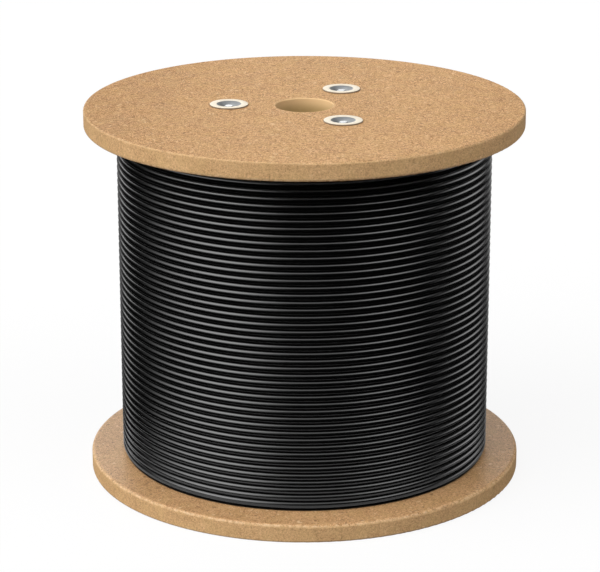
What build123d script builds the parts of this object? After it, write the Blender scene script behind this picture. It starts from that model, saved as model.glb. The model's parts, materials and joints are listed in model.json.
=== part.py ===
"""Wooden cable drum, wound full.

Two round particleboard flanges are clamped on a paper tube by three tie rods, and the space between them is
wound with round black cable. Millimetres, +Z up along the drum's axis. The origin is on the axis, at the
underside of the bottom flange, which is the face that the drum stands on.
"""

import os
from math import pi, sqrt

from build123d import *

# Flanges, two like boards with their inside faces towards each other
flange_diameter = 380.0
flange_thickness = 16.0
spindle_bore = 50.0
bore_chamfer = 0.75
outside_roundover = 1.5
inside_roundover = 3.0
traverse = 294.0  # clear width between the two inside faces

# Barrel, a plain tube let into a groove in each flange
barrel_diameter = 170.0
barrel_wall = 6.0
barrel_groove_depth = 4.0

# Cable, wound in full layers, each lying in the grooves of the one below
cable_diameter = 6.3
turn_slack = 0.02  # between one turn and the next
outer_layer_gap = 2.2  # between the bottom flange and the outer layer's lowest turn
bare_flange = 27.0  # least height of flange left clear outside the winding

# Tie rods and the dished nuts on their ends
rod_count = 3
rod_inset = 14.0  # from the inside of the barrel's wall to a rod's axis
rod_diameter = 8.0
rod_end_chamfer = 0.8
rod_end_depth = 1.7  # from a nut's rim down to the rod's end
nut_rim_diameter = 33.0
nut_rim_thickness = 1.2
nut_dish_diameter = 21.0
nut_dish_depth = 4.0
nut_wall = 1.4
nut_sleeve_diameter = 12.0
nut_sleeve_length = 7.0
nut_below_floor = 0.3  # how far the bottom nuts' rims stay inside the board

# Clearances
seat_clearance = 0.15  # on each side of a round piece in its seat
overrun = 1.0  # how far a cut runs past the face that it opens

# Sizes that follow
metre = 1000.0
flange_radius = flange_diameter / 2
bore_radius = spindle_bore / 2
barrel_radius = barrel_diameter / 2
barrel_inside = barrel_radius - barrel_wall
overall_height = traverse + 2 * flange_thickness
layer_rise = cable_diameter * sqrt(3) / 2
turn_pitch = cable_diameter + turn_slack
turns_per_layer = int((traverse - outer_layer_gap) // turn_pitch)
winding_room = flange_radius - bare_flange - barrel_radius
cable_layers = 1 + int((winding_room - cable_diameter) // layer_rise)
winding_radius = barrel_radius + cable_diameter + (cable_layers - 1) * layer_rise
mean_turn_length = pi * (winding_radius + barrel_radius)
cable_length = mean_turn_length * turns_per_layer * cable_layers
winding_width = turns_per_layer * turn_pitch
turn_groove_depth = cable_diameter * (1 - pi / 4)  # a vee as large as the gap between two round turns
winding_foot = flange_thickness
winding_head = flange_thickness + traverse
outer_layer_foot = winding_foot + outer_layer_gap
outer_layer_head = outer_layer_foot + winding_width
rod_radius = rod_diameter / 2
rod_circle_radius = barrel_inside - rod_inset
nut_rim_radius = nut_rim_diameter / 2
nut_dish_radius = nut_dish_diameter / 2
nut_sleeve_radius = nut_sleeve_diameter / 2
nut_cone_depth = nut_dish_depth - nut_rim_thickness + nut_wall
nut_recess = nut_rim_thickness + nut_below_floor


def revolved(points):
    """A solid of revolution about Z from a closed outline of (radius, height) points."""
    with BuildPart() as turned:
        with BuildSketch(Plane.XZ):
            with BuildLine():
                Polyline(*points, close=True)
            make_face()
        revolve(axis=Axis.Z)
    return turned.part


def rod_places():
    """Where the tie rods stand: evenly round the axis, the first towards -X."""
    step = 360 / rod_count
    return [Rotation(0, 0, 180 + step * i) * Pos(rod_circle_radius, 0, 0) for i in range(rod_count)]


def nut_seat(rim_recess):
    """What a flange with its outside face at 0 loses to one nut: room for its rim, cone and sleeve."""
    rim = nut_rim_radius + seat_clearance
    cone = nut_dish_radius + seat_clearance
    sleeve = nut_sleeve_radius + seat_clearance
    cone_foot = -rim_recess - nut_cone_depth
    through = -flange_thickness - overrun
    return revolved(
        [
            (0, overrun),
            (rim, overrun),
            (rim, -rim_recess),
            (cone, -rim_recess),
            (sleeve, cone_foot),
            (sleeve, through),
            (0, through),
        ]
    )


def flange(rim_recess):
    """One flange, its outside face up at 0 and its inside face down, with the nuts let in by rim_recess."""
    groove_outside = barrel_radius + seat_clearance
    groove_inside = barrel_inside - seat_clearance
    with BuildPart() as board:
        with BuildSketch(Plane.XZ) as section:
            with Locations((bore_radius, 0)):
                Rectangle(flange_radius - bore_radius, flange_thickness, align=(Align.MIN, Align.MAX))
            chamfer(section.vertices().group_by(Axis.X)[0], bore_chamfer)
            fillet(section.vertices().group_by(Axis.X)[-1].sort_by(Axis.Y)[-1], outside_roundover)
            fillet(section.vertices().group_by(Axis.X)[-1].sort_by(Axis.Y)[0], inside_roundover)
        revolve(axis=Axis.Z)
        with BuildSketch(Plane.XY.offset(-flange_thickness)):
            Circle(groove_outside)
            Circle(groove_inside, mode=Mode.SUBTRACT)
        extrude(amount=barrel_groove_depth, mode=Mode.SUBTRACT)
        seat = nut_seat(rim_recess)
        for place in rod_places():
            add(place * seat, mode=Mode.SUBTRACT)
    return board.part


def barrel_tube():
    """The tube that the cable is wound on, seated on the floors of the two grooves."""
    foot = flange_thickness - barrel_groove_depth
    head = overall_height - foot
    inside_wall = [(barrel_inside, head), (barrel_inside, foot)]
    outside_wall = [(barrel_radius, foot), (barrel_radius, head)]
    return revolved(inside_wall + outside_wall)


def cable_winding():
    """The wound cable as one turned solid that fills the space between the flanges.

    Its face has a ridge for each turn of the outer layer. At each flange a narrow ring of the layer below is
    left bare.
    """
    groove_radius = winding_radius - turn_groove_depth
    under_radius = winding_radius - layer_rise
    inside = barrel_radius + seat_clearance
    face = [(under_radius, winding_foot), (under_radius, outer_layer_foot)]
    for turn in range(turns_per_layer):
        low = outer_layer_foot + turn * turn_pitch
        face += [(groove_radius, low), (winding_radius, low + turn_pitch / 2)]
    face += [(groove_radius, outer_layer_head)]
    face += [(under_radius, outer_layer_head), (under_radius, winding_head)]
    return revolved([(inside, winding_foot)] + face + [(inside, winding_head)])


def tie_rod():
    """One rod on the axis, reaching into the dishes of its two nuts."""
    foot = nut_below_floor + rod_end_depth
    head = overall_height + nut_rim_thickness - rod_end_depth
    neck = rod_radius - rod_end_chamfer
    return revolved(
        [
            (0, foot),
            (neck, foot),
            (rod_radius, foot + rod_end_chamfer),
            (rod_radius, head - rod_end_chamfer),
            (neck, head),
            (0, head),
        ]
    )


def cup_nut():
    """One dished nut on Z: a flat rim with its underside at 0, a conical dish and a sleeve on the rod."""
    bore = rod_radius + seat_clearance
    dish_floor = nut_rim_thickness - nut_dish_depth
    sleeve_foot = -nut_cone_depth - nut_sleeve_length
    return revolved(
        [
            (bore, sleeve_foot),
            (nut_sleeve_radius, sleeve_foot),
            (nut_sleeve_radius, -nut_cone_depth),
            (nut_dish_radius, 0),
            (nut_rim_radius, 0),
            (nut_rim_radius, nut_rim_thickness),
            (nut_dish_radius, nut_rim_thickness),
            (bore, dish_floor),
        ]
    )


turned_over = Rotation(180, 0, 0)
top_face = Pos(0, 0, overall_height)
sunk_rim = Pos(0, 0, nut_recess)

pieces = {
    "top_flange": top_face * flange(0),
    "bottom_flange": turned_over * flange(nut_recess),
    "barrel_tube": barrel_tube(),
    "cable_winding": cable_winding(),
}
for number, place in enumerate(rod_places(), start=1):
    pieces[f"tie_rod_{number}"] = place * tie_rod()
    pieces[f"top_cup_nut_{number}"] = top_face * place * cup_nut()
    pieces[f"bottom_cup_nut_{number}"] = place * sunk_rim * turned_over * cup_nut()

os.makedirs("parts", exist_ok=True)
for name, piece in pieces.items():
    export_step(piece, f"parts/{name}.step")

print(f"{cable_layers} layers of {turns_per_layer} turns, {cable_length / metre:.0f} m of cable")
print(f"winding {2 * winding_radius:.1f} mm across, drum {overall_height:.1f} mm tall")
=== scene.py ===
# %% [markdown]
# # A wooden cable drum, wound full
#
# The drum is two round particleboard flanges, clamped on a paper tube by three tie rods, with the space
# between them wound full of black cable. The boards, the tube and the rods come from the CAD frame and only
# need a finish. The cable and the dished nuts are modelled again here, because their looks depend on
# rounder shapes than the CAD solids have.
#
# Every object is in metres, stands where the CAD says, and keeps its own origin at the drum's foot.

# %% Load the frame and keep its box
import json
import math

import bmesh
import bpy
from mathutils import Matrix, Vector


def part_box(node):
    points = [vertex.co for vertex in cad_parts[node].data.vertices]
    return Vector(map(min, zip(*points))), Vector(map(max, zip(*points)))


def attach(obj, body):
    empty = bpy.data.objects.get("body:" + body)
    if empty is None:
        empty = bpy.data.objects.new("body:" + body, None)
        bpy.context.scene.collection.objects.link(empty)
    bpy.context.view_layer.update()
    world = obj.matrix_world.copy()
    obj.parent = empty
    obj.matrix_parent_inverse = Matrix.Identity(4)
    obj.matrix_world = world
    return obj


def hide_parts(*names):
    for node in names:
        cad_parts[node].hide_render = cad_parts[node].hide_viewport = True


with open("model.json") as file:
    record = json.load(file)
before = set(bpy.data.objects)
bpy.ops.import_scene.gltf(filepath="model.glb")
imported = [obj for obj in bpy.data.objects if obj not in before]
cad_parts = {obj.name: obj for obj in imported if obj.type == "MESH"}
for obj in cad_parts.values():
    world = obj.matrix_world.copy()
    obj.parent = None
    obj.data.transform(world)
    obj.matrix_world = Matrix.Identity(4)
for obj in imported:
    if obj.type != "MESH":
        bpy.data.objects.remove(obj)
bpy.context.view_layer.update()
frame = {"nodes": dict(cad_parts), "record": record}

mm = 0.001
drum_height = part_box("top_flange")[1].z
print("nodes in the frame:", len(frame["nodes"]))
print("drum height in mm:", round(drum_height / mm, 1))

# %% [markdown]
# ## The camera
#
# A product picture like this one is taken with a long lens from a little above, so the two flanges are
# nearly parallel ellipses. The camera could be placed by eye, but the rims, the bore and the nuts are all
# true circles, so its distance, height and tilt were worked out from how those circles are squashed. The
# lens is given as a focal length in pixels of the picture, which is what such a fit gives, and turned into
# millimetres for Blender.

# %% Camera
picture_width = 600
focal_length_pixels = 2527.0
axis_pixel = 304.5  # the picture column that the drum's axis falls on
camera_distance = 2.1151
camera_height = 0.8522
camera_tilt = math.radians(18.069)

camera_data = bpy.data.cameras.new("studio_camera")
camera_data.lens = focal_length_pixels / picture_width * camera_data.sensor_width
camera_data.shift_x = 0.5 - axis_pixel / picture_width
camera = bpy.data.objects.new("studio_camera", camera_data)
camera.location = (0, -camera_distance, camera_height)
camera.rotation_euler = (math.pi / 2 - camera_tilt, 0, 0)
bpy.context.scene.collection.objects.link(camera)
bpy.context.scene.camera = camera
bpy.context.scene.view_settings.view_transform = "Standard"
print("lens in mm:", round(camera_data.lens, 1))

# %% [markdown]
# ## Helpers for node trees
#
# All finishes here are node trees. Placing each node with its settings and links takes many lines when it
# is written out in full, so a few small helpers do it: one places any node, and the others are for the
# kinds used most.

# %% Placing nodes
def place(tree, kind, sockets=None, **settings):
    """Adds a node. A socket is given another node's output, which is linked to it, or a plain value."""
    node = tree.nodes.new("ShaderNode" + kind)
    for name, value in settings.items():
        setattr(node, name, value)
    for key, value in (sockets or {}).items():
        if isinstance(value, bpy.types.NodeSocket):
            tree.links.new(value, node.inputs[key])
        else:
            node.inputs[key].default_value = value
    return node


def calc(tree, operation, *terms):
    """One step of arithmetic on values."""
    return place(tree, "Math", dict(enumerate(terms)), operation=operation).outputs[0]


def fade(tree, value, start, end, low=0.0, high=1.0):
    """A smooth step: low where the value is at start, high where it is at end."""
    sockets = {"Value": value, "From Min": start, "From Max": end, "To Min": low, "To Max": high}
    return place(tree, "MapRange", sockets, interpolation_type="SMOOTHSTEP").outputs["Result"]


# %% Noise and blends
noise_range = (0.3, 0.7)  # where nearly all of a noise value lies


def noise(tree, point, waves, detail=2.0, roughness=0.5):
    """A noise value of about 0.5, with so many waves a metre."""
    sockets = {"Vector": point, "Scale": waves, "Detail": detail, "Roughness": roughness}
    return place(tree, "TexNoise", sockets).outputs["Fac"]


def spread(tree, value, low=0.0, high=1.0):
    """A noise value stretched to run from low to high."""
    return fade(tree, value, *noise_range, low, high)


def blend_values(tree, amount, first, second):
    """Two values mixed by an amount from 0 to 1."""
    return place(tree, "Mix", {"Factor": amount, "A": first, "B": second}).outputs["Result"]


def blend_colours(tree, amount, first, second):
    """Two colours mixed by an amount from 0 to 1."""
    return place(tree, "Mix", {0: amount, 6: first, 7: second}, data_type="RGBA").outputs[2]


def colour_ramp(tree, value, stops):
    """A colour looked up by a value, from stops of (value, colour)."""
    ramp = place(tree, "ValToRGB", {"Fac": value})
    elements = ramp.color_ramp.elements
    while len(elements) < len(stops):
        elements.new(1.0)
    for element, (position, colour) in zip(elements, stops):
        element.position = position
        element.color = (*colour, 1.0)
    return ramp.outputs["Color"]


# %% Groups and materials
def new_group(name, inputs, outputs):
    """An empty node group with its sockets. Gives the tree, its input outputs and its output inputs."""
    tree = bpy.data.node_groups.new(name, "ShaderNodeTree")
    for title, kind in inputs.items():
        tree.interface.new_socket(title, in_out="INPUT", socket_type="NodeSocket" + kind)
    for title, kind in outputs.items():
        tree.interface.new_socket(title, in_out="OUTPUT", socket_type="NodeSocket" + kind)
    given = tree.nodes.new("NodeGroupInput").outputs
    results = tree.nodes.new("NodeGroupOutput").inputs
    return tree, given, results


def use_group(tree, group, sockets):
    """Places a node group and gives its outputs."""
    return place(tree, "Group", sockets, node_tree=group).outputs


def new_material(name):
    """A material with a Principled shader. Gives the material, its tree and that shader."""
    material = bpy.data.materials.new(name)
    material.use_nodes = True
    tree = material.node_tree
    return material, tree, tree.nodes["Principled BSDF"]


def add_bump(tree, shader, height, strength, distance):
    """Bends the shader's normals by a height."""
    bump = place(tree, "Bump", {"Height": height, "Strength": strength, "Distance": distance})
    tree.links.new(bump.outputs["Normal"], shader.inputs["Normal"])


# %% [markdown]
# ## The studio
#
# Black cable shows almost nothing but the lights it mirrors, so the studio decides how the winding looks.
# Area lamps would do, but lamps at a few metres give each turn a different highlight. Here the lights are
# soft boxes painted on the world, infinitely far away, so all turns catch them alike. A soft box is a patch
# of sky round a direction, with soft edges, and one node group makes them all.
#
# Directions are in degrees: azimuth 0 is behind the camera and positive to the right of it.

# %% One soft box as a node group
box_inputs = ["Centre azimuth", "Centre elevation", "Half width", "Half height", "Strength"]
soft_share = 0.75  # of a box's half width or height, faded on each side of its edge
half_turn_degrees = 180.0


def make_softbox():
    inputs = dict.fromkeys(["Azimuth", "Elevation"] + box_inputs, "Float")
    tree, given, results = new_group("softbox", inputs, {"Light": "Float"})
    turn = calc(tree, "SUBTRACT", given["Azimuth"], given["Centre azimuth"])
    across = calc(tree, "ABSOLUTE", calc(tree, "WRAP", turn, half_turn_degrees, -half_turn_degrees))
    rise = calc(tree, "SUBTRACT", given["Elevation"], given["Centre elevation"])
    up = calc(tree, "ABSOLUTE", rise)
    light = given["Strength"]
    for distance, half in ((across, given["Half width"]), (up, given["Half height"])):
        outer = calc(tree, "MULTIPLY", half, 1 + soft_share)
        inner = calc(tree, "MULTIPLY", half, 1 - soft_share)
        light = calc(tree, "MULTIPLY", light, fade(tree, distance, outer, inner))
    tree.links.new(light, results["Light"])
    return tree


softbox = make_softbox()
print("soft box group has", len(softbox.nodes), "nodes")


def add_boxes(tree, boxes, azimuth, elevation):
    """The light of several soft boxes, added up."""
    total = 0.0
    for sizes in boxes.values():
        sockets = {"Azimuth": azimuth, "Elevation": elevation, **dict(zip(box_inputs, sizes))}
        total = calc(tree, "ADD", total, use_group(tree, softbox, sockets)["Light"])
    return total


# %% [markdown]
# The lights: a large key box on the left, a smaller one on the right and a dim one over the camera, which
# together draw one thin line along each turn. One from behind catches the drum's left flank, and a faint
# one closes the gap between it and the key. The wall behind the drum is white, and the bright nuts have to
# mirror it, but it must not light the drum again. So walls, ceiling and a card at the right flank are there
# for glossy rays only. An even glow from above, which is there for all but glossy rays, fills the shadows
# on the boards without a veil on the cable.

# %% World
softboxes = {  # centre azimuth and elevation, half width and half height, strength
    "key": (-63.0, 33.0, 32.5, 23.5, 3.6),
    "fill": (62.5, 43.0, 25.5, 13.0, 2.4),
    "front": (-2.0, 55.0, 42.0, 17.0, 1.1),
    "left_flank": (-156.0, 22.0, 18.0, 9.5, 2.05),
    "left_gap": (-120.0, 38.0, 14.0, 12.0, 0.35),
}
mirrored_walls = {
    "wall": (180.0, 20.0, 18.0, 18.0, 1.2),
    "right_flank": (114.0, -3.5, 19.0, 11.5, 1.85),
    "right_wall": (162.0, -6.0, 9.0, 14.0, 0.5),
    "left_wall": (-160.0, -8.0, 10.0, 16.0, 0.27),
    "ceiling": (180.0, 73.0, 70.0, 13.0, 0.45),
}
glow_level = 0.14  # at the horizon
glow_rise = 0.22  # more than that straight above


def make_world():
    world = bpy.data.worlds.new("studio")
    world.use_nodes = True
    tree = world.node_tree
    tree.nodes.clear()
    direction = place(tree, "TexCoord").outputs["Generated"]
    along = place(tree, "SeparateXYZ", {"Vector": direction}).outputs
    towards_camera = calc(tree, "MULTIPLY", along["Y"], -1.0)
    azimuth = calc(tree, "DEGREES", calc(tree, "ARCTAN2", along["X"], towards_camera))
    elevation = calc(tree, "DEGREES", calc(tree, "ARCSINE", along["Z"]))

    light = add_boxes(tree, softboxes, azimuth, elevation)
    mirrored = add_boxes(tree, mirrored_walls, azimuth, elevation)
    glow = calc(tree, "MULTIPLY_ADD", calc(tree, "MAXIMUM", along["Z"], 0.0), glow_rise, glow_level)

    rays = place(tree, "LightPath").outputs
    surroundings = blend_values(tree, rays["Is Glossy Ray"], glow, mirrored)
    studio = calc(tree, "ADD", light, surroundings)
    seen = calc(tree, "MAXIMUM", rays["Is Camera Ray"], rays["Is Transmission Ray"])
    strength = blend_values(tree, seen, studio, 1.0)
    background = place(tree, "Background", {"Color": (1, 1, 1, 1), "Strength": strength})
    output = place(tree, "OutputWorld")
    tree.links.new(background.outputs["Background"], output.inputs["Surface"])
    return world


bpy.context.scene.world = make_world()
print("soft boxes:", ", ".join(softboxes))
print("only mirrored:", ", ".join(mirrored_walls))

# %% [markdown]
# The floor is a wide pale disc. For the camera most of its white is its own, so that it meets the white
# wall without a line, and the rest is lit and keeps the drum's shadow. For light that bounces it is a plain
# grey. The cable would mirror a white floor on the underside of every turn, which a black card on the floor
# would stop in a real studio. Here the floor is simply left out of reflections.

# %% Floor paper
shadow_share = 0.13
bounce_grey = (0.34, 0.34, 0.34, 1)
white = (1, 1, 1, 1)


def make_floor_paper():
    material, tree, shader = new_material("floor_paper")
    tree.nodes.remove(shader)
    rays = place(tree, "LightPath").outputs
    bounce = place(tree, "BsdfDiffuse", {"Color": bounce_grey})
    lit = place(tree, "BsdfDiffuse", {"Color": white})
    own_white = place(tree, "Emission", {"Color": white, "Strength": 1.0})
    seen = place(tree, "MixShader", {0: shadow_share, 1: own_white.outputs[0], 2: lit.outputs[0]})
    shown = calc(tree, "MAXIMUM", rays["Is Camera Ray"], rays["Is Transmission Ray"])
    paper = place(tree, "MixShader", {0: shown, 1: bounce.outputs[0], 2: seen.outputs[0]})
    tree.links.new(paper.outputs[0], tree.nodes["Material Output"].inputs["Surface"])
    return material


# %% Floor
floor_radius = 4.0
floor_sides = 64
floor_drop = 0.2 * mm


def make_object(name, shape, material):
    """Turns a bmesh into an object with a material, smooth shaded, and frees the bmesh."""
    mesh = bpy.data.meshes.new(name)
    shape.to_mesh(mesh)
    shape.free()
    mesh.shade_smooth()
    mesh.materials.append(material)
    piece = bpy.data.objects.new(name, mesh)
    bpy.context.scene.collection.objects.link(piece)
    return piece


disc = bmesh.new()
bmesh.ops.create_circle(disc, cap_ends=True, radius=floor_radius, segments=floor_sides)
bmesh.ops.translate(disc, verts=disc.verts, vec=(0, 0, -floor_drop))
floor = make_object("floor", disc, make_floor_paper())
floor.visible_glossy = False
print("floor", 2 * floor_radius, "m across")

# %% [markdown]
# ## Particleboard
#
# The flanges are raw particleboard: wood chips of about a millimetre, pressed with glue and sanded, with a
# dark bit of bark or a pale splinter here and there. A photograph could be mapped on, but chips run through
# the whole board, so a solid pattern is better: the same cells show on the face, on the sawn edge and in
# the bore. A Voronoi texture cuts space into cells, and its random colour per cell is one chip's tone.
# Noise bends the cells first, or they would look like a honeycomb.

# %% Chips as a node group
bend_waves_share = 0.6  # waves of the bending noise in one chip
bend_share = 2.5  # of a chip, the range over which the noise moves a point
dome_share = 0.5  # of the full height, lost over one chip's width from its middle


def make_chips():
    inputs = {"Place": "Vector", "Chip size": "Float"}
    outputs = {"Tone": "Float", "Height": "Float", "From middle": "Float"}
    tree, given, results = new_group("wood_chips", inputs, outputs)
    cells_per_metre = calc(tree, "DIVIDE", 1.0, given["Chip size"])
    bend_scale = calc(tree, "MULTIPLY", cells_per_metre, bend_waves_share)
    bend = place(tree, "TexNoise", {"Vector": given["Place"], "Scale": bend_scale, "Detail": 2.0})
    middle = (0.5, 0.5, 0.5)
    centred = place(tree, "VectorMath", {0: bend.outputs["Color"], 1: middle}, operation="SUBTRACT")
    reach = calc(tree, "MULTIPLY", given["Chip size"], bend_share)
    shift = place(tree, "VectorMath", {0: centred.outputs[0], "Scale": reach}, operation="SCALE")
    bent = place(tree, "VectorMath", {0: given["Place"], 1: shift.outputs[0]}, operation="ADD")
    cells = place(tree, "TexVoronoi", {"Vector": bent.outputs[0], "Scale": cells_per_metre})
    random = place(tree, "SeparateColor", {"Color": cells.outputs["Color"]}).outputs
    domed = calc(tree, "MULTIPLY_ADD", cells.outputs["Distance"], -dome_share, random["Green"])
    tree.links.new(random["Red"], results["Tone"])
    tree.links.new(domed, results["Height"])
    tree.links.new(cells.outputs["Distance"], results["From middle"])
    return tree


wood_chips = make_chips()
print("chips group has", len(wood_chips.nodes), "nodes")

# %% [markdown]
# Several places on a flange differ from its raw face. The outside face is painted palest along a strip near
# its middle and darker away from it, as painted light falling across it. The inside face is smoother and a
# little darker, with a faint sheen, and it is painted black under the cable, as painted shade where the
# cable lies on it. The sawn edge is calmer and greyer, its rounded rims are paler in patches, partly scuffs
# and partly a painted highlight, and the drum's foot is painted darker as its contact shadow. The bore is
# cut smooth, with a painted highlight at its lip, which is paler and yellower, and painted shade further in.
#
# The places could be painted by hand, but they all follow the board's own shape. So each one is a mask made
# from distances: to a face, to the rim, to the bore, to the winding or to the strip's line. Faces are found
# from the drum's middle, which folds the two flanges onto each other. Only the foot is found from the floor.

# %% Where the places are
flange_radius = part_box("top_flange")[1].x
wound_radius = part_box("cable_winding")[1].x
outside_face = drum_height / 2  # from the drum's middle, as the inside face is
inside_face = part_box("top_flange")[0].z - drum_height / 2
bore_radius = frame["record"]["mounts"][0]["dims"]["r_mm"] * mm
# Painted light: the outside face is palest along this strip and darker away from it.
painted_light_strip = 30.0 * mm  # from the axis towards +X
bands = {  # the distance at which a place starts to show, and the one at which it is full
    "edge": (1.6 * mm, 0.2 * mm),
    "rim": (1.9 * mm, 0.7 * mm),
    "outside rim": (1.4 * mm, 0.5 * mm),
    "inside rim": (3.0 * mm, 0.9 * mm),
    "outside": (0.6 * mm, 0.2 * mm),
    "inside": (1.0 * mm, 0.5 * mm),
    "bore": (0.8 * mm, 0.3 * mm),
    "lip": (2.8 * mm, 1.0 * mm),
    "lit bore": (12.0 * mm, 1.0 * mm),
    "under cable": (1.4 * mm, 3.0 * mm),
    "foot": (2.0 * mm, 0.2 * mm),
    "shaded off strip": (60.0 * mm, 240.0 * mm),
}
outside_rim_share = 0.4
lip_highlight_share = 0.35
foot_shadow_share = 0.45
print("flanges", round(2 * flange_radius / mm), "mm across, bore", round(2 * bore_radius / mm), "mm")


# %% Masks of the places
def board_places(tree, point):
    """Masks from 0 to 1, by name, of the places on a flange."""
    def near(name, distance, full=1.0):
        return fade(tree, distance, *bands[name], 0.0, full)

    along = place(tree, "SeparateXYZ", {"Vector": point}).outputs
    flat = place(tree, "VectorMath", {0: point, 1: (1, 1, 0)}, operation="MULTIPLY").outputs[0]
    from_axis = place(tree, "VectorMath", {0: flat}, operation="LENGTH").outputs["Value"]
    from_middle = calc(tree, "ABSOLUTE", calc(tree, "SUBTRACT", along["Z"], drum_height / 2))
    from_rim = calc(tree, "SUBTRACT", flange_radius, from_axis)
    from_bore = calc(tree, "SUBTRACT", from_axis, bore_radius)
    from_winding = calc(tree, "SUBTRACT", wound_radius, from_axis)
    from_outside = calc(tree, "SUBTRACT", outside_face, from_middle)
    from_inside = calc(tree, "SUBTRACT", from_middle, inside_face)
    from_strip = calc(tree, "ABSOLUTE", calc(tree, "SUBTRACT", along["X"], painted_light_strip))

    at_rim = near("rim", from_rim)
    outside_rim = near("outside rim", from_outside, outside_rim_share)
    either_rim = calc(tree, "MAXIMUM", outside_rim, near("inside rim", from_inside))
    inside = near("inside", from_inside)
    # Painted shade on the outside face, away from its pale strip.
    shaded_off_strip = calc(tree, "MULTIPLY", near("outside", from_outside), near("shaded off strip", from_strip))
    return {
        "edge": near("edge", from_rim),
        "rim": calc(tree, "MULTIPLY", at_rim, either_rim),
        "foot": calc(tree, "MULTIPLY", at_rim, near("foot", along["Z"], foot_shadow_share)),
        "shaded off strip": shaded_off_strip,
        "inside": inside,
        "under cable": calc(tree, "MULTIPLY", near("under cable", from_winding), inside),
        "bore": near("bore", from_bore),
        "lip": near("lip", from_bore, lip_highlight_share),
        "lit bore": near("lit bore", from_outside),
    }


# %% [markdown]
# The patterns are two sizes of chip laid over each other, slow clouds of colour, saw marks on the edge and
# broken patches on the rims, which make scuffs and a painted highlight. Together the chips, the finest grain
# and the clouds make one tone, from dark to pale, and the places shift it.

# %% Patterns on the board
chip_size = 1.15 * mm
dust_size = 0.65 * mm
cloud_waves = 28.0
scuff_waves = 260.0
saw_waves = 420.0
saw_stretch = (1.0, 1.0, 0.03)  # draws the saw marks out upright
saw_range = (0.58, 0.72)


def board_patterns(tree, point, places):
    """The patterns that colour, relief and gloss have in common, by name."""
    upright = place(tree, "VectorMath", {0: point, 1: saw_stretch}, operation="MULTIPLY").outputs[0]
    saw_marks = fade(tree, noise(tree, upright, saw_waves, detail=3.0, roughness=0.7), *saw_range)
    return {
        "chips": use_group(tree, wood_chips, {"Place": point, "Chip size": chip_size}),
        "dust": use_group(tree, wood_chips, {"Place": point, "Chip size": dust_size}),
        "cloud": noise(tree, point, cloud_waves, detail=4.0, roughness=0.6),
        "scuff": noise(tree, point, scuff_waves, detail=3.0, roughness=0.65),
        "saw marks": calc(tree, "MULTIPLY", places["edge"], saw_marks),
    }


print("chips of", round(chip_size / mm, 2), "and", round(dust_size / mm, 2), "mm")

# %% Tone of the board
dust_share = 0.5
grain_waves = 1000.0
grain_share = 0.35
face_contrast = 2.0
inside_contrast = 1.5
edge_contrast = 1.0
cloud_range = (0.25, 0.75)
cloud_tones = (0.43, 0.57)
middle_tone = 0.5
# The strip's shift is painted shade: the outside face darker away from its pale strip.
tone_shifts = {"inside": -0.04, "shaded off strip": -0.18}
saw_mark_shift = -0.15
calm_bore_share = 0.8


def board_tone(tree, point, places, patterns):
    """How pale the board is, from 0 to 1."""
    grain = spread(tree, noise(tree, point, grain_waves, roughness=0.7))
    mixed = blend_values(tree, dust_share, patterns["chips"]["Tone"], patterns["dust"]["Tone"])
    mixed = blend_values(tree, grain_share, mixed, grain)
    centred = calc(tree, "SUBTRACT", mixed, middle_tone)
    contrast = blend_values(tree, places["inside"], face_contrast, inside_contrast)
    contrast = blend_values(tree, places["edge"], contrast, edge_contrast)
    slow = fade(tree, patterns["cloud"], *cloud_range, *cloud_tones)
    tone = calc(tree, "MULTIPLY_ADD", centred, contrast, slow)
    tone = calc(tree, "MULTIPLY_ADD", patterns["saw marks"], saw_mark_shift, tone)
    for name, shift in tone_shifts.items():
        tone = calc(tree, "MULTIPLY_ADD", places[name], shift, tone)
    return blend_values(tree, calc(tree, "MULTIPLY", places["bore"], calm_bore_share), tone, middle_tone)


# %% [markdown]
# The tone is looked up on a ramp of wood colours. Over it go a slow tint, specks of bark and splinter, and
# the colours of the places. The specks are a third, wide set of chips: only the middle of a cell counts,
# and only where the cell's random tone is very high or very low.

# %% Colours of the board
board_tones = [
    (0.00, (0.275, 0.132, 0.050)),
    (0.20, (0.449, 0.239, 0.101)),
    (0.50, (0.612, 0.348, 0.160)),
    (0.80, (0.755, 0.458, 0.230)),
    (1.00, (0.877, 0.595, 0.342)),
]
yellower = (0.62, 0.40, 0.16, 1)
sawn = (0.60, 0.60, 0.36, 1)
bark = (0.20, 0.095, 0.040, 1)
splinter = (0.88, 0.64, 0.38, 1)
# Painted light and shade in the bore: a painted highlight at the lip, painted shade further in.
bore_painted_highlight = (0.88, 0.60, 0.315, 1)
bore_painted_shade = (0.53, 0.36, 0.155, 1)
# Partly scuffs and partly a painted highlight on the rounded rims.
scuffed_and_highlight = (0.90, 0.65, 0.40, 1)
# Painted contact shadow along the drum's foot.
painted_foot_shadow = (0.16, 0.11, 0.07, 1)
# Painted shade: the board under the cable, where no light reaches.
painted_shade_under_cable = (0.012, 0.011, 0.010, 1)
tint_waves = 70.0
tint_range = (0.4, 0.65)
tint_share = 0.2
sawn_share = 0.1
bore_share = 0.9
scuff_range = (0.38, 0.62)
scuff_and_highlight_share = 0.65
print("board colours from", board_tones[0][1], "to", board_tones[-1][1])

# %% Specks
speck_spacing = 4.5 * mm
speck_shares = (0.34, 0.22)  # of a cell, where a speck ends and where it is full
bark_tones = (0.80, 0.86)
splinter_tones = (0.20, 0.14)
speck_share = 0.6
edge_speck_share = 0.45


def add_specks(tree, point, places, colour):
    """Bits of bark and splinters, fainter on the sawn edge."""
    specks = use_group(tree, wood_chips, {"Place": point, "Chip size": speck_spacing})
    core = fade(tree, specks["From middle"], *speck_shares)
    core = calc(tree, "MULTIPLY", core, blend_values(tree, places["edge"], 1.0, edge_speck_share))
    for tones, speck_colour in ((bark_tones, bark), (splinter_tones, splinter)):
        chosen = fade(tree, specks["Tone"], *tones, 0.0, speck_share)
        colour = blend_colours(tree, calc(tree, "MULTIPLY", core, chosen), colour, speck_colour)
    return colour


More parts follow.
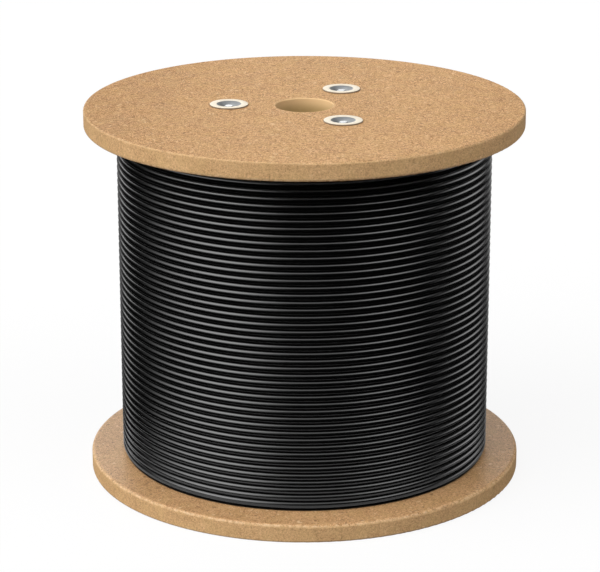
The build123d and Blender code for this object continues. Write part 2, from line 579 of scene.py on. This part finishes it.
# %% Colour of every point
def board_colour(tree, point, places, patterns, tone):
    """The board's colour, with its specks and its places."""
    colour = colour_ramp(tree, tone, board_tones)
    tint = fade(tree, noise(tree, point, tint_waves, detail=3.0), *tint_range, 0.0, tint_share)
    colour = blend_colours(tree, tint, colour, yellower)
    colour = blend_colours(tree, calc(tree, "MULTIPLY", places["edge"], sawn_share), colour, sawn)
    colour = add_specks(tree, point, places, colour)
    # Painted shade deeper in the bore, and a painted highlight at its top and on the lip around it.
    bore_colour = blend_colours(tree, places["lit bore"], bore_painted_shade, bore_painted_highlight)
    colour = blend_colours(tree, places["lip"], colour, bore_painted_highlight)
    colour = blend_colours(tree, calc(tree, "MULTIPLY", places["bore"], bore_share), colour, bore_colour)
    # The rims are made paler in patches: scuffs and a painted highlight together.
    worn_and_lit = fade(tree, patterns["scuff"], *scuff_range, 0.0, scuff_and_highlight_share)
    colour = blend_colours(tree, calc(tree, "MULTIPLY", places["rim"], worn_and_lit), colour, scuffed_and_highlight)
    # Painted shade: the drum's foot is darkened as its contact shadow.
    colour = blend_colours(tree, places["foot"], colour, painted_foot_shadow)
    # Painted shade under the cable, where it lies on the inside face.
    return blend_colours(tree, places["under cable"], colour, painted_shade_under_cable)


# %% [markdown]
# The relief follows the same patterns: chips stand a little proud of each other, saw marks are cut in, and
# scuffed rims are rough. The sheen of the inside face could be a change of specular level, but a thin coat
# keeps its mask when the model is exported.
#
# Black cable close to orange board would show orange streaks on its undersides. Here they are grey, as they
# are in a picture with its colours evened out, so mirrored rays see the board as a plain grey.

# %% Particleboard material
mirrored_board = (0.60, 0.60, 0.60, 1)
dust_height = 0.5
inside_relief_share = 0.1
saw_mark_height = -0.8
scuff_height = 4.0
board_bump = 0.3
board_relief = 0.08 * mm
raw_roughness = (0.58, 0.70)
raw_specular = 0.1
inside_coat = 0.75
inside_coat_roughness = 0.42


def board_height(tree, places, patterns):
    """The board's relief, as a height for a bump."""
    height = calc(tree, "MULTIPLY_ADD", patterns["dust"]["Height"], dust_height, patterns["chips"]["Height"])
    height = calc(tree, "MULTIPLY", height, calc(tree, "SUBTRACT", 1.0, places["bore"]))
    kept = blend_values(tree, places["inside"], 1.0, inside_relief_share)
    height = calc(tree, "MULTIPLY", height, kept)
    height = calc(tree, "MULTIPLY_ADD", patterns["saw marks"], saw_mark_height, height)
    scuffs = calc(tree, "MULTIPLY", places["rim"], patterns["scuff"])
    return calc(tree, "MULTIPLY_ADD", scuffs, scuff_height, height)


def make_particleboard():
    material, tree, shader = new_material("raw_particleboard")
    point = place(tree, "TexCoord").outputs["Object"]
    places = board_places(tree, point)
    patterns = board_patterns(tree, point, places)
    tone = board_tone(tree, point, places, patterns)
    colour = board_colour(tree, point, places, patterns, tone)
    rays = place(tree, "LightPath").outputs
    colour = blend_colours(tree, rays["Is Glossy Ray"], colour, mirrored_board)
    tree.links.new(colour, shader.inputs["Base Color"])
    add_bump(tree, shader, board_height(tree, places, patterns), board_bump, board_relief)
    tree.links.new(spread(tree, patterns["cloud"], *raw_roughness), shader.inputs["Roughness"])
    tree.links.new(calc(tree, "MULTIPLY", places["inside"], inside_coat), shader.inputs["Coat Weight"])
    shader.inputs["Coat Roughness"].default_value = inside_coat_roughness
    shader.inputs["Specular IOR Level"].default_value = raw_specular
    return material


# %% Finish the flanges
def finish_nodes(material, *names):
    """Gives CAD nodes a better material in place of the one they came with."""
    for name in names:
        for material_slot in frame["nodes"][name].material_slots:
            material_slot.material = material
    print(material.name, "on", ", ".join(names))


finish_nodes(make_particleboard(), "top_flange", "bottom_flange")

# %% [markdown]
# ## The wound cable
#
# Cable is wound on from one flange to the other and back again, and each layer lies in the grooves of the
# one below. On a well wound drum a turn isn't a steady screw line: it lies level nearly all the way round,
# and then steps up beside itself in one short stretch, all steps in line. A screw line would be simpler,
# but the level turns show at once where they meet the flange. The steps are at the back here.
#
# The path is worked out point by point in turns: the whole number says which turn, the rest how far round
# it is. A curve with a round bevel makes a cable of it, which is then turned into a mesh.

# %% Sizes of the winding
cable_diameter = 6.3 * mm
turn_slack = 0.02 * mm  # between one turn and the next
turn_pitch = cable_diameter + turn_slack
outer_layer_gap = 2.2 * mm  # between the bottom flange and the outer layer's lowest turn
winding_foot, winding_head = (corner.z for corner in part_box("cable_winding"))
outer_radius = wound_radius - cable_diameter / 2
layer_rise = cable_diameter * math.sqrt(3) / 2
outer_turns = int((winding_head - winding_foot - outer_layer_gap) // turn_pitch)
outer_lowest = winding_foot + outer_layer_gap + turn_pitch / 2
print(outer_turns, "turns, the lowest at", round(outer_lowest / mm, 2), "mm")

# %% The path of one layer
step_share = 0.2  # of a turn, taken up by the step to the next one
step_middle = math.radians(90)  # straight behind the drum
dive_share = 0.08  # of a turn, for the cable's way up from the layer below
tuck_share = 0.75  # of the last step, after which the cable's end is out of sight


def smooth_step(x):
    """Rises from 0 to 1 as x does, and is level at both ends."""
    x = min(max(x, 0.0), 1.0)
    return x * x * (3 - 2 * x)


def layer_points(radius, lowest, turn_count, direction, steps_per_turn):
    """Points along one layer. It comes up at the lowest turn, and rolls in behind the last step."""
    def risen(turns):
        whole = min(math.floor(turns), turn_count - 2)
        return whole + smooth_step((turns - whole - 1 + step_share) / step_share)

    points = []
    length = turn_count - (1 - tuck_share) * step_share + dive_share
    for step in range(round(length * steps_per_turn) + 1):
        turns = step / steps_per_turn - dive_share
        made_way = smooth_step((turns - turn_count + step_share) / step_share)
        rolled_in = math.sqrt(1 - (1 - made_way) ** 2)
        sunk = max(smooth_step(-turns / dive_share), rolled_in)
        out = radius - sunk * cable_diameter
        angle = step_middle + direction * 2 * math.pi * (turns + step_share / 2)
        height = lowest + turn_pitch * risen(max(turns, 0.0))
        points.append((out * math.cos(angle), out * math.sin(angle), height))
    return points


# %% From path to cable
def wind_layer(name, points, sides, material):
    """A round cable along the points, as a smooth mesh."""
    curve = bpy.data.curves.new(name, "CURVE")
    curve.dimensions = "3D"
    curve.bevel_depth = cable_diameter / 2
    curve.bevel_resolution = (sides - 4) // 2  # a round bevel has 4 sides, and 2 more for each step
    curve.use_fill_caps = True
    curve.twist_mode = "Z_UP"
    spline = curve.splines.new("POLY")
    spline.points.add(len(points) - 1)
    for spline_point, point in zip(spline.points, points):
        spline_point.co = (*point, 1.0)
    line = bpy.data.objects.new(name + "_line", curve)
    mesh = bpy.data.meshes.new_from_object(line)
    bpy.data.objects.remove(line)
    mesh.shade_smooth()
    mesh.materials.clear()
    mesh.materials.append(material)
    layer = bpy.data.objects.new(name, mesh)
    bpy.context.scene.collection.objects.link(layer)
    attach(layer, "root")
    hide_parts("cable_winding")
    print(name, "has", sum(len(face.vertices) - 2 for face in mesh.polygons), "triangles")


# %% [markdown]
# The sheath is black plastic from an extruder. It is smooth but not polished: the highlight is a soft line,
# a little uneven along its length. Black is never quite black, and a plain dark colour would look like a
# hole, so the roughness and the finest ripple come from noise.
#
# In a groove each turn mirrors the next one, which mirrors the lights again. At the flanks that second
# image would fill the grooves with grey, where the real ones stay black. So a turn that is seen in another
# turn is given a rough skin, which spreads that image out.

# %% Cable sheath material
deep_black = (0.0010, 0.0010, 0.0010, 1)
worn_black = (0.0020, 0.0020, 0.0020, 1)
smear_waves = 60.0
sheath_roughness = (0.19, 0.22)
mirrored_roughness = 0.8
ripple_waves = 250.0
ripple_bump = 0.05
ripple_relief = 0.02 * mm


def make_sheath():
    material, tree, shader = new_material("black_sheath")
    point = place(tree, "TexCoord").outputs["Object"]
    smear = noise(tree, point, smear_waves, detail=4.0)
    tree.links.new(blend_colours(tree, smear, deep_black, worn_black), shader.inputs["Base Color"])
    rays = place(tree, "LightPath").outputs
    roughness = spread(tree, smear, *sheath_roughness)
    roughness = blend_values(tree, rays["Is Glossy Ray"], roughness, mirrored_roughness)
    tree.links.new(roughness, shader.inputs["Roughness"])
    add_bump(tree, shader, noise(tree, point, ripple_waves), ripple_bump, ripple_relief)
    shader.inputs["Specular IOR Level"].default_value = 1.0
    return material


# %% Wind the last two layers
outer_steps = 96  # points in a turn
outer_sides = 20
under_steps = 64
under_sides = 10
sheath = make_sheath()
under_radius = outer_radius - layer_rise
under_lowest = outer_lowest + turn_pitch / 2
outer_points = layer_points(outer_radius, outer_lowest, outer_turns, 1, outer_steps)
under_points = layer_points(under_radius, under_lowest, outer_turns - 1, -1, under_steps)
wind_layer("cable_outer_layer", outer_points, outer_sides, sheath)
wind_layer("cable_under_layer", under_points, under_sides, sheath)

# %% [markdown]
# ## The dished nuts
#
# Each end of a tie rod has a pressed steel nut: a flat bright rim on the board, a conical dish that sinks
# into it, and a sleeve on the rod. A turned part like this is quickest as half its section, spun once
# round. The section has only corners. The rolled rim and the edge of the dish come from bevels afterwards,
# as a press would round them.

# %% Sizes of a nut
rim_radius = 16.5 * mm
rim_thickness = 1.2 * mm
rim_roll = 0.2 * mm
rim_roll_segments = 3
dish_radius = 10.7 * mm
dish_edge = 0.2 * mm
dish_edge_segments = 2
dish_depth = 4.0 * mm
sleeve_radius = 6.0 * mm
sleeve_head = -4.2 * mm
sleeve_foot = -11.2 * mm
rod_hole = 4.15 * mm
nut_steps = 72
print("nut", round(2 * rim_radius / mm, 1), "mm across, dish", round(dish_depth / mm, 1), "mm deep")

# %% Nut from a spun section
weld_distance = 0.001 * mm
ring_tolerance = 0.01 * mm


def spin_section(section, steps):
    """A closed section of (radius, height) points, spun once round Z."""
    shape = bmesh.new()
    corners = [shape.verts.new((radius, 0, height)) for radius, height in section]
    for first, second in zip(corners, corners[1:] + corners[:1]):
        shape.edges.new((first, second))
    bmesh.ops.spin(shape, geom=shape.verts[:] + shape.edges[:], cent=(0, 0, 0), axis=(0, 0, 1),
                   angle=2 * math.pi, steps=steps, use_merge=True)
    bmesh.ops.remove_doubles(shape, verts=shape.verts, dist=weld_distance)
    bmesh.ops.recalc_face_normals(shape, faces=shape.faces)
    return shape


def round_ring(shape, radius, height, size, segments):
    """Bevels the ring of edges at a radius and height."""
    def on_ring(vert):
        return (abs(math.hypot(vert.co.x, vert.co.y) - radius) < ring_tolerance
                and abs(vert.co.z - height) < ring_tolerance)

    ring = [edge for edge in shape.edges if all(on_ring(vert) for vert in edge.verts)]
    bmesh.ops.bevel(shape, geom=ring, offset=size, segments=segments, profile=0.5, affect="EDGES",
                    material=-1)


def nut_shape():
    dish = [(dish_radius, rim_thickness), (rod_hole, rim_thickness - dish_depth)]
    sleeve = [(rod_hole, sleeve_foot), (sleeve_radius, sleeve_foot), (sleeve_radius, sleeve_head)]
    rim = [(dish_radius, 0), (rim_radius, 0), (rim_radius, rim_thickness)]
    shape = spin_section(dish + sleeve + rim, nut_steps)
    round_ring(shape, rim_radius, rim_thickness, rim_roll, rim_roll_segments)
    round_ring(shape, dish_radius, rim_thickness, dish_edge, dish_edge_segments)
    return shape


# %% [markdown]
# Bright zinc plate is a mirror with a faint tint. The rim is frosted: mostly a plain warm white with a
# little of a mirror in it, so it stays pale from all sides. The dish is duller, and the rim's cut edge is
# painted dark brown, a bare edge with painted shade over it, as the thin shadow under the rim. All three
# need each point's distance from its own nut's axis, so the mesh carries that as an attribute. The rods
# have no such attribute and read 0, which leaves them plain zinc.

# %% Zinc material
plain_zinc = (0.66, 0.68, 0.69, 1)
bright_rim = (0.95, 0.85, 0.67, 1)
dull_dish = (0.46, 0.475, 0.485, 1)
clouded = (0.60, 0.62, 0.64, 1)
# Painted shade on the rim's bare cut edge, as the thin shadow under the rim.
cut_edge_painted_shade = (0.33, 0.25, 0.17, 1)
plate_waves = 250.0
clouded_range = (0.4, 0.7)
clouded_share = 0.1
zinc_roughness = (0.18, 0.24)
rim_frost = 0.25
dish_dullness = 0.45
rim_mirror_share = 0.25
dish_lip = 0.3 * mm
cut_edge_shade_band = (0.12 * mm, 0.03 * mm)  # in from the rim, where the cut edge starts and where it is full


def make_zinc():
    material, tree, shader = new_material("bright_zinc")
    point = place(tree, "TexCoord").outputs["Object"]
    turned = place(tree, "Attribute", attribute_name="turned").outputs["Fac"]
    on_rim = fade(tree, turned, dish_radius - dish_lip, dish_radius)
    off_rod = calc(tree, "GREATER_THAN", turned, rod_hole / 2)
    in_dish = calc(tree, "SUBTRACT", off_rod, on_rim)
    # Where the cut edge's painted shade goes.
    at_shaded_edge = fade(tree, turned, *(rim_radius - inset for inset in cut_edge_shade_band))
    cloud = noise(tree, point, plate_waves, detail=4.0)
    colour = blend_colours(tree, on_rim, plain_zinc, bright_rim)
    dimmed = fade(tree, cloud, *clouded_range, 0.0, clouded_share)
    colour = blend_colours(tree, dimmed, colour, clouded)
    colour = blend_colours(tree, in_dish, colour, dull_dish)
    colour = blend_colours(tree, at_shaded_edge, colour, cut_edge_painted_shade)
    tree.links.new(colour, shader.inputs["Base Color"])
    roughness = spread(tree, cloud, *zinc_roughness)
    roughness = calc(tree, "MULTIPLY_ADD", on_rim, rim_frost, roughness)
    roughness = calc(tree, "MULTIPLY_ADD", in_dish, dish_dullness, roughness)
    tree.links.new(roughness, shader.inputs["Roughness"])
    tree.links.new(blend_values(tree, on_rim, 1.0, rim_mirror_share), shader.inputs["Metallic"])
    return material


# %% Seat the nuts
zinc = make_zinc()
turned_over = Matrix.Rotation(math.pi, 4, "X")


def seat_nut(name):
    """One nut, moved to where its CAD node is and turned over on the bottom flange."""
    low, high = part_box(name)
    shape = nut_shape()
    turned = [math.hypot(vert.co.x, vert.co.y) for vert in shape.verts]
    middle = (low + high) / 2
    if name.startswith("top"):
        move = Matrix.Translation((middle.x, middle.y, high.z - rim_thickness))
    else:
        move = Matrix.Translation((middle.x, middle.y, low.z + rim_thickness)) @ turned_over
    bmesh.ops.transform(shape, matrix=move, verts=shape.verts)
    nut = make_object(name + "_pressed", shape, zinc)
    nut.data.attributes.new("turned", "FLOAT", "POINT").data.foreach_set("value", turned)
    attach(nut, "root")
    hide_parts(name)
    return nut


nuts = [seat_nut(name) for name in sorted(frame["nodes"]) if "cup_nut" in name]
finish_nodes(zinc, "tie_rod_1", "tie_rod_2", "tie_rod_3")
print(len(nuts), "nuts of", sum(len(face.vertices) - 2 for face in nuts[0].data.polygons), "triangles")

# %% [markdown]
# ## The paper tube
#
# The barrel is a tube wound from brown paper strip, seen only through the bore. The strip's edges run round
# it as a steep screw line, which is a sawtooth of height plus angle.

# %% Paper tube material
strip_width = 90 * mm
seam_share = 0.02  # of a strip's width, on each side of its edge
seam_darkness = 0.6
fibre_waves = 700.0
dark_paper = (0.33, 0.22, 0.12, 1)
pale_paper = (0.50, 0.36, 0.22, 1)
seam_brown = (0.20, 0.13, 0.07, 1)
paper_bump = 0.3
paper_relief = 0.15 * mm
paper_roughness = 0.85


def make_paper_tube():
    material, tree, shader = new_material("brown_paper_tube")
    point = place(tree, "TexCoord").outputs["Object"]
    along = place(tree, "SeparateXYZ", {"Vector": point}).outputs
    turns = calc(tree, "DIVIDE", calc(tree, "ARCTAN2", along["Y"], along["X"]), 2 * math.pi)
    across = calc(tree, "FRACT", calc(tree, "MULTIPLY_ADD", along["Z"], 1 / strip_width, turns))
    seam = fade(tree, calc(tree, "PINGPONG", across, 0.5), seam_share, 0.0)
    fibres = noise(tree, point, fibre_waves, detail=4.0, roughness=0.7)
    colour = blend_colours(tree, fibres, dark_paper, pale_paper)
    colour = blend_colours(tree, calc(tree, "MULTIPLY", seam, seam_darkness), colour, seam_brown)
    tree.links.new(colour, shader.inputs["Base Color"])
    add_bump(tree, shader, calc(tree, "SUBTRACT", fibres, seam), paper_bump, paper_relief)
    shader.inputs["Roughness"].default_value = paper_roughness
    return material


finish_nodes(make_paper_tube(), "barrel_tube")
